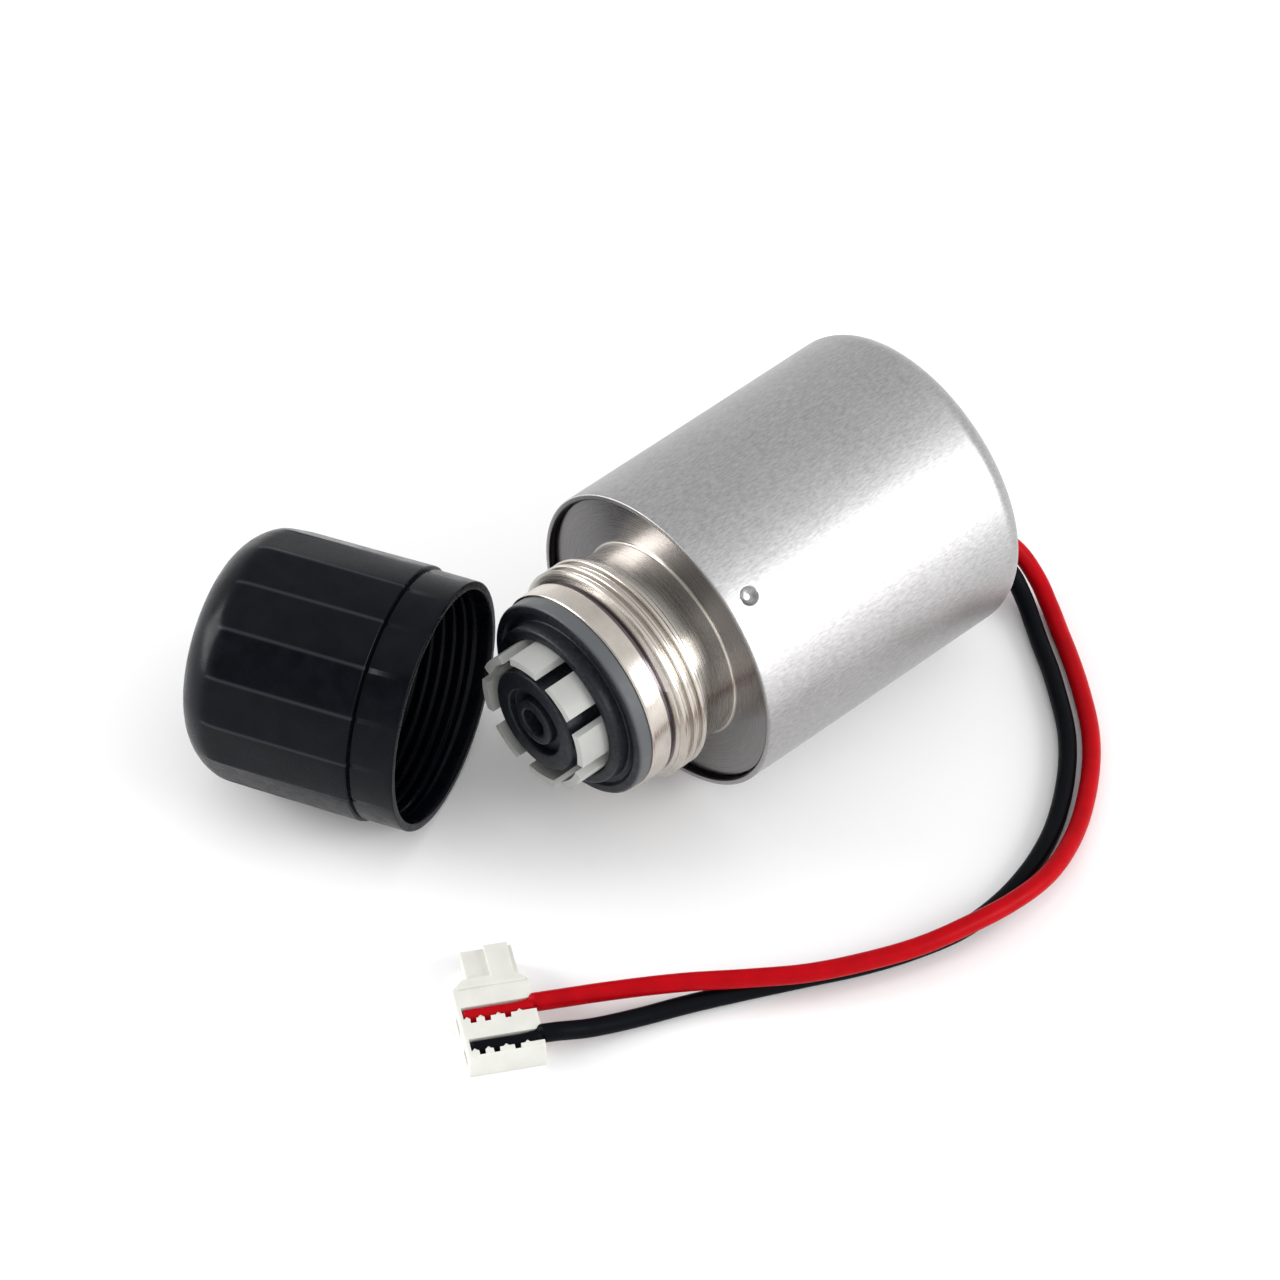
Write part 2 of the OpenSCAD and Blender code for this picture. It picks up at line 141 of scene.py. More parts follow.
def piece(name, bm, slot, body, *nodes, place=None, sharp=40):
    """An object from a bmesh, smooth but for edges over 'sharp' degrees, with its finish and CAD nodes.
    It rides on a body, unless body is None."""
    if place is not None:
        bm.transform(place)
    bmesh.ops.recalc_face_normals(bm, faces=bm.faces)
    for face in bm.faces:
        face.smooth = True
    for edge in bm.edges:
        edge.smooth = len(edge.link_faces) == 2 and edge.calc_face_angle(0) < radians(sharp)
    mesh = bpy.data.meshes.new(name)
    bm.to_mesh(mesh)
    bm.free()
    obj = bpy.data.objects.new(name, mesh)
    bpy.context.scene.collection.objects.link(obj)
    mesh.materials.append(FINISHES[slot])
    weighted = obj.modifiers.new("normals", "WEIGHTED_NORMAL")
    weighted.keep_sharp = True
    if body is not None:
        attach(obj, body)
    if nodes:
        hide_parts(*nodes)
    return obj


def turned(outline, angles, shape=None):
    """A bmesh turned about the Y axis from a closed outline of (radius, y), in millimetres.
    shape(radius, y, angle) gives the radius at one place."""
    bm = bmesh.new()
    rings = []
    for radius, y in outline:
        if radius < 1e-6:
            rings.append([bm.verts.new((0, y * MM, 0))])
            continue
        ring = []
        for angle in angles:
            r = shape(radius, y, angle) if shape else radius
            ring.append(bm.verts.new((r * cos(angle) * MM, y * MM, r * sin(angle) * MM)))
        rings.append(ring)
    for ring, after in zip(rings, rings[1:] + rings[:1]):
        for k in range(len(angles)):
            corners = [ring[k % len(ring)], ring[(k + 1) % len(ring)],
                       after[(k + 1) % len(after)], after[k % len(after)]]
            kept = list(dict.fromkeys(corners))
            if len(kept) > 2:
                bm.faces.new(kept)
    return bm


def swept(line, radius_at, sides=28):
    """A bmesh tube along points in metres. radius_at(index, angle) is its radius in millimetres."""
    bm = bmesh.new()
    rings = []
    side = None
    for i, here in enumerate(line):
        ahead = (line[min(i + 1, len(line) - 1)] - line[max(i - 1, 0)]).normalized()
        side = ahead.cross(Vector((0, 0, 1))) if side is None else side - ahead * side.dot(ahead)
        side.normalize()
        up = side.cross(ahead)
        rings.append([bm.verts.new(here + (side * cos(a) + up * sin(a)) * radius_at(i, a) * MM)
                      for a in even_turn(sides)])
    for ring, after in zip(rings, rings[1:]):
        for k in range(sides):
            bm.faces.new([ring[k], ring[(k + 1) % sides], after[(k + 1) % sides], after[k]])
    bm.faces.new(rings[0][::-1])
    bm.faces.new(rings[-1])
    return bm


def smooth_line(points, steps=10):
    """A smooth line in metres through points in millimetres."""
    p = [Vector(q) * MM for q in points]
    p = [2 * p[0] - p[1], *p, 2 * p[-1] - p[-2]]
    line = []
    for a, b, c, d in zip(p, p[1:], p[2:], p[3:]):
        ab, bc, cd = (b - a).length, (c - b).length, (d - c).length
        leave = ((b - a) / ab * bc + (c - b) / bc * ab) / (ab + bc) * bc
        arrive = ((c - b) / bc * cd + (d - c) / cd * bc) / (bc + cd) * bc
        for k in range(steps):
            t = k / steps
            line.append(b * (2 * t**3 - 3 * t**2 + 1) + leave * (t**3 - 2 * t**2 + t)
                        + c * (3 * t**2 - 2 * t**3) + arrive * (t**3 - t**2))
    line.append(p[-2])
    return line


def box_mesh(low, high):
    """A bmesh box between two corners, in millimetres."""
    bm = bmesh.new()
    bmesh.ops.create_cube(bm, size=1)
    low, high = Vector(low) * MM, Vector(high) * MM
    bm.transform(Matrix.Translation((low + high) / 2) @ Matrix.Diagonal((*(high - low), 1)))
    return bm


def drill(x, y, z, radius, segments):
    """A bmesh rod 3 mm long along the Y axis, to cut a round hole at a place in millimetres."""
    bm = bmesh.new()
    bmesh.ops.create_cone(bm, cap_ends=True, segments=segments, radius1=radius * MM, radius2=radius * MM,
                          depth=3 * MM)
    bm.transform(Matrix.Translation(Vector((x, y, z)) * MM) @ Matrix.Rotation(radians(90), 4, "X"))
    return bm


def helper_object(bm):
    """A bmesh as a scratch object, for the modifiers to work on."""
    bmesh.ops.recalc_face_normals(bm, faces=bm.faces)
    mesh = bpy.data.meshes.new("scratch")
    bm.to_mesh(mesh)
    bm.free()
    obj = bpy.data.objects.new("scratch", mesh)
    bpy.context.scene.collection.objects.link(obj)
    return obj


def baked(obj):
    """The scratch object's mesh with its modifiers applied, as a bmesh. The object is removed."""
    bpy.context.view_layer.update()
    bm = bmesh.new()
    bm.from_object(obj, bpy.context.evaluated_depsgraph_get())
    bpy.data.objects.remove(obj)
    return bm


def combined(base, others, operation):
    """base joined with, or cut by, each bmesh in others, one after the other."""
    for other in others:
        first, second = helper_object(base), helper_object(other)
        modifier = first.modifiers.new("join", "BOOLEAN")
        modifier.operation = operation
        modifier.solver = "EXACT"
        modifier.object = second
        base = baked(first)
        bpy.data.objects.remove(second)
    return base


def bevelled(bm, width, segments=2, angle=35):
    """A bmesh with its sharp edges rounded over a width in millimetres."""
    bmesh.ops.dissolve_limit(bm, angle_limit=radians(1), verts=bm.verts, edges=bm.edges)
    obj = helper_object(bm)
    modifier = obj.modifiers.new("bevel", "BEVEL")
    modifier.width = width * MM
    modifier.segments = segments
    modifier.angle_limit = radians(angle)
    modifier.harden_normals = False
    return baked(obj)


# ---- Material helpers -------------------------------------------------------------------------------


class Finish:
    """A procedural material: a Principled shader, and what varies its colour, roughness and bump."""

    def __init__(self, name, colour, roughness, metallic=0.0, **sockets):
        self.material = bpy.data.materials.new(name)
        self.material.use_nodes = True
        self.material.diffuse_color = (*colour, 1)
        self.tree = self.material.node_tree
        self.shader = self.tree.nodes["Principled BSDF"]
        self.shader.inputs["Base Color"].default_value = (*colour, 1)
        self.shader.inputs["Roughness"].default_value = roughness
        self.shader.inputs["Metallic"].default_value = metallic
        for socket, value in sockets.items():
            self.shader.inputs[socket.replace("_", " ")].default_value = value
        self.where = self.tree.nodes.new("ShaderNodeTexCoord").outputs["Object"]

    def node(self, kind, **settings):
        """A new node with its settings."""
        made = self.tree.nodes.new(kind)
        for key, value in settings.items():
            setattr(made, key, value)
        return made

    def noise(self, per_mm, detail=3.0, stretch=(1, 1, 1), rough=0.55):
        """Noise with 'per_mm' grains to the millimetre, times 'stretch' along each axis."""
        mapping = self.node("ShaderNodeMapping")
        mapping.inputs["Scale"].default_value = [per_mm / MM * s for s in stretch]
        self.tree.links.new(self.where, mapping.inputs["Vector"])
        noise = self.node("ShaderNodeTexNoise")
        noise.inputs["Scale"].default_value = 1
        noise.inputs["Detail"].default_value = detail
        noise.inputs["Roughness"].default_value = rough
        self.tree.links.new(mapping.outputs["Vector"], noise.inputs["Vector"])
        return noise.outputs["Fac"]

    def along_axis(self):
        """The place along the Y axis, in metres."""
        split = self.node("ShaderNodeSeparateXYZ")
        self.tree.links.new(self.where, split.inputs[0])
        return split.outputs["Y"]

    def from_axis(self):
        """The distance from the Y axis, in metres."""
        flat = self.node("ShaderNodeVectorMath", operation="MULTIPLY")
        flat.inputs[1].default_value = (1, 0, 1)
        self.tree.links.new(self.where, flat.inputs[0])
        away = self.node("ShaderNodeVectorMath", operation="LENGTH")
        self.tree.links.new(flat.outputs[0], away.inputs[0])
        return away.outputs["Value"]

    def turning(self, per_mm, detail=4.0):
        """Noise that runs round the Y axis, as a lathe tool leaves it."""
        along = self.node("ShaderNodeMath", operation="ADD")
        self.tree.links.new(self.from_axis(), along.inputs[0])
        self.tree.links.new(self.along_axis(), along.inputs[1])
        noise = self.node("ShaderNodeTexNoise", noise_dimensions="1D")
        noise.inputs["Scale"].default_value = per_mm / MM
        noise.inputs["Detail"].default_value = detail
        self.tree.links.new(along.outputs[0], noise.inputs["W"])
        return noise.outputs["Fac"]

    def ranged(self, value, start, end, low, high):
        """value, from start to end, as a number from low to high."""
        span = self.node("ShaderNodeMapRange")
        for socket, number in zip(("From Min", "From Max", "To Min", "To Max"), (start, end, low, high)):
            span.inputs[socket].default_value = number
        self.tree.links.new(value, span.inputs["Value"])
        return span.outputs["Result"]

    def past(self, value, start, end):
        """0 before a place given in millimetres, and 1 past another. The two may run either way."""
        if start < end:
            return self.ranged(value, start * MM, end * MM, 0, 1)
        return self.ranged(value, end * MM, start * MM, 1, 0)

    def tint(self, value, dark, light, start=0.3, end=0.7):
        """The base colour runs from dark to light as value goes from start to end."""
        ramp = self.node("ShaderNodeValToRGB")
        ramp.color_ramp.elements[0].position = start
        ramp.color_ramp.elements[0].color = (*dark, 1)
        ramp.color_ramp.elements[1].position = end
        ramp.color_ramp.elements[1].color = (*light, 1)
        self.tree.links.new(value, ramp.inputs["Fac"])
        self.tree.links.new(ramp.outputs["Color"], self.shader.inputs["Base Color"])
        return self

    def region(self, colour, *factors):
        """The base colour turns into another where all the factors are 1."""
        weight = factors[0]
        for factor in factors[1:]:
            both = self.node("ShaderNodeMath", operation="MULTIPLY")
            self.tree.links.new(weight, both.inputs[0])
            self.tree.links.new(factor, both.inputs[1])
            weight = both.outputs[0]
        mix = self.node("ShaderNodeMix", data_type="RGBA")
        base = self.shader.inputs["Base Color"].links[0].from_socket
        self.tree.links.new(weight, mix.inputs["Factor"])
        self.tree.links.new(base, mix.inputs["A"])
        mix.inputs["B"].default_value = (*colour, 1)
        self.tree.links.new(mix.outputs["Result"], self.shader.inputs["Base Color"])
        return self

    def polish(self, value, low, high, start=0.3, end=0.7):
        """The roughness runs from low to high as value goes from start to end."""
        self.tree.links.new(self.ranged(value, start, end, low, high), self.shader.inputs["Roughness"])
        return self

    def relief(self, *layers):
        """Bump from (height, depth in micrometres) layers, one over the other."""
        before = None
        for height, depth in layers:
            bump = self.node("ShaderNodeBump")
            bump.inputs["Strength"].default_value = 1
            bump.inputs["Distance"].default_value = depth * 1e-6
            self.tree.links.new(height, bump.inputs["Height"])
            if before is not None:
                self.tree.links.new(before, bump.inputs["Normal"])
            before = bump.outputs["Normal"]
        self.tree.links.new(before, self.shader.inputs["Normal"])
        return self

    def brushed(self, amount, across):
        """Anisotropic gloss about the Y axis: across=True for marks along the axis."""
        tangent = self.node("ShaderNodeTangent", direction_type="RADIAL", axis="Y")
        self.tree.links.new(tangent.outputs["Tangent"], self.shader.inputs["Tangent"])
        self.shader.inputs["Anisotropic"].default_value = amount
        self.shader.inputs["Anisotropic Rotation"].default_value = 0 if across else 0.25
        return self


def steel_can():
    """Brushed steel, with painted shade on the inside of the rim."""
    f = Finish("steel_can", (0.41, 0.405, 0.405), 0.42, 1.0)
    f.brushed(0.6, True)
    streaks = f.noise(7, 4, (1, 0.06, 1), 0.7)
    grain = f.noise(6, 4, (1, 0.25, 1), 0.8)
    f.tint(grain, (0.27, 0.265, 0.27), (0.52, 0.515, 0.51), 0.25, 0.75)
    # painted shade: the inner wall just inside the mouth is coloured nearly black
    f.region((0.03, 0.028, 0.03), f.past(f.from_axis(), wall_in + 0.125, wall_in + 0.035),
             f.past(f.along_axis(), 0.9, 0.5))
    f.polish(f.noise(0.15, 3), 0.36, 0.44)
    return f.relief((streaks, 4), (grain, 3)).material


def nickel():
    """Bright plating, with painted shade in the relief groove and a painted darker, greyer reflection on
    the face of the disc.
    """
    f = Finish("nickel", (0.56, 0.52, 0.47), 0.26, 1.0)
    f.brushed(0.35, False)
    rings = f.turning(9)
    f.tint(f.noise(0.4, 3), (0.50, 0.46, 0.41), (0.60, 0.56, 0.51))
    # painted shade: the relief groove is coloured dark
    f.region((0.17, 0.15, 0.16), f.past(f.along_axis(), relief_front - 0.09, relief_front + 0.01),
             f.past(f.along_axis(), relief_back + 0.06, relief_back - 0.06),
             f.past(f.from_axis(), land_r - 0.04, land_r - 0.14))
    # painted reflection: the disc's face is coloured darker and greyer, standing for dark surroundings
    # reflected in it
    f.region((0.27, 0.262, 0.264), f.past(f.along_axis(), -0.3, -0.05),
             f.past(f.from_axis(), collar_r + 0.1, collar_r + 0.35))
    f.polish(rings, 0.20, 0.32)
    return f.relief((rings, 2.6), (f.noise(5, 2), 0.6)).material


def plain_metal(name, colour, roughness, marks_per_mm=7.0, depth=3.0):
    """Turned metal with fine tool marks round the Y axis."""
    f = Finish(name, colour, roughness, 1.0)
    f.tint(f.noise(0.5, 3), tuple(c * 0.88 for c in colour), tuple(min(1, c * 1.06) for c in colour))
    f.polish(f.noise(2, 3), roughness - 0.06, roughness + 0.08)
    return f.relief((f.turning(marks_per_mm), depth)).material


def rubber(name, colour, roughness):
    """Matt rubber with faint specks."""
    f = Finish(name, colour, roughness, Specular_IOR_Level=0.3)
    f.tint(f.noise(3.2, 1, rough=0.3), tuple(c * 0.85 for c in colour), colour, 0.45, 0.82)
    f.polish(f.noise(1.1, 3), roughness - 0.08, roughness + 0.08)
    return f.relief((f.noise(14, 3), 3.5), (f.noise(1.2, 2), 6)).material


def seal_rubber():
    """Black rubber, paler on the sealing ring's side wall, a pale band that is partly painted sheen."""
    f = Finish("black_rubber", (0.007, 0.009, 0.014), 0.45, Specular_IOR_Level=0.26)
    specks = f.noise(3.2, 1, rough=0.3)
    f.tint(specks, (0.006, 0.0075, 0.012), (0.018, 0.020, 0.026), 0.45, 0.82)
    # partly painted sheen: the side wall of the ring is coloured paler grey-blue
    f.region((0.095, 0.101, 0.106), f.past(f.from_axis(), seal_r - 0.25, seal_r - 0.04))
    f.polish(f.noise(1.1, 3), 0.37, 0.53)
    return f.relief((f.noise(14, 3), 3.5), (f.noise(1.2, 2), 6)).material


def moulded(name, colour, roughness, grain=2.0, glow=0.0):
    """Moulded plastic with a grain in micrometres. glow is how much light passes under its surface."""
    f = Finish(name, colour, roughness)
    if glow:
        f.shader.inputs["Subsurface Weight"].default_value = glow
        f.shader.inputs["Subsurface Radius"].default_value = (1.0, 0.8, 0.6)
        f.shader.inputs["Subsurface Scale"].default_value = 0.6 * MM
    f.tint(f.noise(0.35, 3), tuple(c * 0.94 for c in colour), tuple(min(1, c * 1.04) for c in colour))
    f.polish(f.noise(0.9, 3), roughness - 0.05, roughness + 0.07)
    return f.relief((f.noise(12, 2), grain), (f.noise(0.7, 2), 8)).material


def cap_plastic():
    """Glossy black plastic, with painted highlights along the corners of the grip."""
    f = Finish("black_plastic", (0.002, 0.0025, 0.004), 0.26, Specular_IOR_Level=0.1)
    f.tint(f.noise(0.5, 4), (0.0012, 0.0016, 0.003), (0.003, 0.004, 0.0065))
    # painted highlight: thin pale lines along the grip's corners, read from a vertex attribute
    f.region((0.022, 0.024, 0.030), f.node("ShaderNodeAttribute", attribute_name="corner_highlight").outputs["Fac"])
    f.polish(f.noise(0.8, 5), 0.20, 0.34)
    return f.relief((f.noise(9, 3), 1.6), (f.noise(0.35, 2), 16)).material


def lead_pvc(name, colour, roughness):
    """Soft, slightly uneven wire insulation."""
    f = Finish(name, colour, roughness, Specular_IOR_Level=0.06)
    f.tint(f.noise(0.6, 3), tuple(c * 0.86 for c in colour), tuple(min(1, c * 1.06) for c in colour))
    f.polish(f.noise(1.5, 3), roughness - 0.06, roughness + 0.08)
    return f.relief((f.noise(6, 3), 3), (f.noise(0.8, 2), 14)).material


def coil_wire():
    """Enamelled copper wire, wound in even turns."""
    f = Finish("copper", (0.72, 0.33, 0.14), 0.3, 1.0)
    f.tint(f.turning(5), (0.42, 0.15, 0.05), (0.80, 0.40, 0.18))
    return f.relief((f.turning(5, 1), 20)).material


FINISHES = {
    "steel_can": steel_can(),
    "nickel": nickel(),
    "tube_steel": plain_metal("tube_steel", (0.60, 0.60, 0.60), 0.30),
    "rubber": rubber("rubber", (0.022, 0.022, 0.024), 0.6),
    "black_rubber": seal_rubber(),
    "grey_plastic": moulded("grey_plastic", (0.40, 0.405, 0.385), 0.42, 2.0, glow=0.1),
    "soft_iron": plain_metal("soft_iron", (0.44, 0.44, 0.45), 0.36),
    "spring_steel": plain_metal("spring_steel", (0.55, 0.55, 0.56), 0.28, 20, 1),
    "bobbin_nylon": moulded("bobbin_nylon", (0.68, 0.63, 0.46), 0.5),
    "copper": coil_wire(),
    "tape": moulded("tape", (0.62, 0.42, 0.05), 0.25),
    "brass": plain_metal("brass", (0.70, 0.52, 0.22), 0.3),
    "solder": plain_metal("solder", (0.62, 0.62, 0.64), 0.25),
    "ferrite": plain_metal("ferrite", (0.12, 0.12, 0.125), 0.6, 4, 6),
    "dark_plastic": moulded("dark_plastic", (0.03, 0.03, 0.034), 0.5, 5),
    "red_pvc": lead_pvc("red_pvc", (0.40, 0.001, 0.005), 0.36),
    "black_pvc": lead_pvc("black_pvc", (0.002, 0.0025, 0.004), 0.42),
    "white_nylon": moulded("white_nylon", (0.68, 0.68, 0.63), 0.42, 2.0, glow=0.2),
    "black_plastic": cap_plastic(),
}

for part in frame["record"]["subparts"]:
    slots = frame["nodes"][part["node"]].data.materials
    slots.clear()
    slots.append(FINISHES[part["material_slot"]])

# ---- The leads: two cords from the grommet to the connector -------------------------------------------

lead_r = 0.8
channel_lead_r = 0.56
exit_at = Vector((3.9, -7.7))
exit_dir = Vector((0.72, -0.69))
red_exit = exit_at - exit_dir * 0.85
black_exit = exit_at + exit_dir * 0.85

plug_at = Vector((14.3, -31.1, floor_z))
plug_turn = radians(60)
plug_len, plug_w, plug_h = 6.4, 8.2, 2.6
red_slot, black_slot = 0.9, -2.5
channel_z = 2.1
lead_drop = 0.36
channel_back = -plug_len / 2 + 0.3
plug_place = Matrix.Translation(plug_at * MM) @ Matrix.Rotation(plug_turn, 4, "Z")


def plug_point(x, y, z=channel_z):
    """A place on the connector, in the frame's millimetres."""
    return (plug_place @ (Vector((x, y, z)) * MM)) / MM


def to_plug(slot):
    """A lead's last points: up to the connector's face, then settled into its channel."""
    face = plug_len / 2
    return [plug_point(face + 0.5, slot), plug_point(face, slot), plug_point(face - 0.5, slot - 0.2),
            plug_point(face - 1.6, slot - lead_drop), plug_point(0, slot - lead_drop),
            plug_point(channel_back, slot - lead_drop)]


red_route = [
    (red_exit[0], grommet_face, red_exit[1]), (red_exit[0], grommet_face + 0.6, red_exit[1]),
    (3.5, 32.4, -7.3), (4.4, 34.7, -8.3), (6.1, 36.2, -10), (8.5, 36.4, -11.8),
    (11, 35.6, -12.9), (13.6, 34.3, -13.2), (16.4, 32.8, -13.2), (19.9, 30.7, -13.2),
    (24.2, 27.6, -13.2), (28.5, 22.9, -13.1),
    (31.6, 18, -12.8), (33.4, 13.2, -12.2), (33.8, 8.6, -11.7), (33.3, 4.4, -11.55),
    (32.2, -0.4, -11.55), (30.4, -4.9, -11.55), (28.2, -9.2, -11.5), (25.2, -13.4, -11.5),
    (22.1, -17.3, -11.6), (18.6, -22.1, -11.9), (16.3, -25.8, -11.95), *to_plug(red_slot)]
black_route = [
    (black_exit[0], grommet_face, black_exit[1]), (black_exit[0], grommet_face + 0.6, black_exit[1]),
    (4.75, 31.9, -8.5), (5.6, 33.6, -9.4), (7.2, 34.5, -10.9), (9.2, 34.2, -12.3),
    (11.4, 33.2, -13.05), (13.6, 32, -13.2),
    (16, 30.7, -13.2), (18.6, 29.1, -13.2), (22.7, 26.2, -13.2), (26.9, 21.7, -13.2),
    (29.9, 17, -13.2), (31.5, 12.8, -13.2), (32.3, 8.6, -13.2), (32.3, 4.4, -13.2),
    (31.2, -0.2, -13.2), (29.6, -4.4, -13.2), (27.5, -8.6, -13.2), (25.1, -13.4, -13.2),
    (23, -17.8, -13.2), (21.2, -22.2, -13.1), (19.8, -25.9, -12.6), *to_plug(black_slot)]


def lead(name, node, route, slot, nubs):
    """One lead: full width up to the connector, then squeezed in its channel, with a nub at each notch."""
    line = smooth_line(route)
    into_plug = plug_place.inverted()
    squeeze_len, nub_half, nub_reach, end_len = 0.35, 0.3, 0.5, 0.3

    def radius_at(i, angle):
        x = (into_plug @ line[i]).x / MM if i > len(line) // 2 else plug_len
        squeeze = clamped((plug_len / 2 - x) / squeeze_len)
        radius = lead_r + (channel_lead_r - lead_r) * squeeze
        for at in nubs:
            radius += nub_reach * max(0, 1 - ((x - at) / nub_half) ** 2) * max(0, -cos(angle)) ** 4
        end = max(0, channel_back + end_len - x) / end_len
        return radius * sqrt(1 - 0.6 * end * end)

    obj = piece(name, swept(line, radius_at), slot, "root", node, sharp=60)
    return obj, line


red_nubs, black_nubs = (-2.1, -0.9, 0.8), (-2.0, -0.8, 0.95)
red_wire, red_line = lead("red_wire", "red_lead", red_route, "red_pvc", red_nubs)
black_wire, black_line = lead("black_wire", "black_lead", black_route, "black_pvc", black_nubs)

# ---- The connector ------------------------------------------------------------------------------------


def diagonal_post(x, y, half, bottom, top):
    """An upright square post, turned 45 degrees, at a place on the connector."""
    post = box_mesh((-half, -half, bottom), (half, half, top))
    post.transform(Matrix.Translation(Vector((x, y, 0)) * MM) @ Matrix.Rotation(radians(45), 4, "Z"))
    return post


def connector():
    """Two-way housing: open lead channels with barbs, a keyed tab with a raised block, and shoulders."""
    half, side, tab_end, above = plug_len / 2, plug_w / 2, plug_w / 2 + 3.3, plug_h + 1
    channel_floor, notch_half, shoulder_half, barb_half = 1.3, 0.27, 0.7, 0.2
    tab = box_mesh((-1.75, side - 0.5, 0), (2.55, tab_end, 2.15))
    key = box_mesh((0.2, side - 0.5, 0.5), (2.2, tab_end, plug_h))
    lip = box_mesh((-half + 0.3, side - 1.05, 1), (half - 0.3, side - 0.75, plug_h + 0.12))
    bm = combined(box_mesh((-half, -side, 0), (half, side, plug_h)), [tab, key, lip], "UNION")
    cuts = []
    for slot in (red_slot, black_slot):
        cuts.append(box_mesh((channel_back, slot - 1.02, channel_floor), (half + 1, slot + 0.24, above)))
        cuts.append(box_mesh((-half - 1, slot - 0.75, 0.3), (half - 0.4, slot + 0.75, 1.0)))
    for slot, nubs in ((red_slot, red_nubs), (black_slot, black_nubs)):
        cuts += [box_mesh((x - notch_half, slot - 1.5, 1.7), (x + notch_half, slot - 0.9, above))
                 for x in nubs]
    cuts += [diagonal_post(x, side, shoulder_half, -1, above) for x in (-half, half)]
    bm = combined(bm, cuts, "DIFFERENCE")
    barbs = [diagonal_post(x, slot - 1.0, barb_half, 1.2, plug_h - 0.08)
             for slot in (red_slot, black_slot) for x in (-2.6, -1.45, 0.03, 1.8)]
    bm = combined(bm, barbs, "UNION")
    bm = bevelled(bm, 0.07)
    return piece("connector_body", bm, "white_nylon", "root", "connector_housing", place=plug_place,
                 sharp=50)


connector_body = connector()

# ---- Can ----------------------------------------------------------------------------------------------

stake_y, stake_turn, stakes = 1.67, radians(50.9), 3
stake_ball_r, stake_reach = 0.9, 0.35
rim_ticks = 330


def stake_angles():
    """The angle of each staking dimple."""
    return [stake_turn + tau * k / stakes for k in range(stakes)]


def angles_near(centres, fine_half, fine_count, coarse):
    """Angles all round, close together near each centre."""
    angles = [tau * k / coarse for k in range(coarse)]
    for centre in centres:
        angles = [a for a in angles if abs((a - centre + pi) % tau - pi) > fine_half]
        angles += [(centre + fine_half * (2 * k / fine_count - 1)) % tau for k in range(fine_count + 1)]
    return sorted(angles)


def staked(radius, y, angle):
    """The can's wall pressed in at each staking dimple."""
    if radius < can_r - 0.01 or abs(y - stake_y) > 1.5:
        return radius
    for centre in stake_angles():
        arc = can_r * ((angle - centre + pi) % tau - pi)
        away = hypot(arc, y - stake_y)
        if away < stake_ball_r:
            ball = can_r + stake_reach - sqrt(stake_ball_r**2 - away**2)
            return smin(radius, ball, 0.06)
    return radius


def ticked(radius, y, angle):
    """The fine axial ticks that drawing leaves inside the rim."""
    odd = round(angle / tau * 2 * rim_ticks) % 2
    return radius - 0.07 * odd if radius < wall_in else radius


def can():
    """Drawn can: ticks inside the rim, dimples in the wall, a rounded back corner and a grommet hole."""
    corner, dimple_rows, dimple_reach = 2.2, 40, 1.4
    corner_r, corner_y = can_r - corner, can_end - corner
    outline = rounded([(wall_in, 5), (wall_in, rim_y, 0.1), (can_r, rim_y, 0.13), (can_r, 0.1)])[1:-1]
    outline += [Vector((can_r, stake_y + dimple_reach * (2 * k / dimple_rows - 1)))
                for k in range(dimple_rows + 1)]
    outline += [Vector((can_r, y)) for y in (8, 14, 20, corner_y)]
    outline += [Vector((corner_r + corner * cos(a), corner_y + corner * sin(a)))
                for a in (radians(6 * k) for k in range(1, 16))]
    outline += [Vector((8, can_end)), Vector((0, can_end)), Vector((0, can_end - can_wall))]
    inner = corner - can_wall
    outline += [Vector((corner_r + inner * cos(a), corner_y + inner * sin(a)))
                for a in (radians(90 - 15 * k) for k in range(7))]
    bm = turned(outline, angles_near(stake_angles(), radians(6), 44, 200), staked)
    bm = combined(bm, [drill(exit_at[0], can_end, exit_at[1], 2.3, 48)], "DIFFERENCE")
    tick_start, tick_end = rim_y + 0.12, 0.35
    ticks = turned([(wall_in + 0.1, tick_start), (wall_in + 0.1, tick_end), (wall_in - 0.01, tick_end),
                    (wall_in - 0.01, tick_start)], even_turn(2 * rim_ticks), ticked)
    joined = bpy.data.meshes.new("scratch")
    ticks.to_mesh(joined)
    ticks.free()
    bm.from_mesh(joined)
    piece("can_shell", bm, "steel_can", "root", "can")


can()


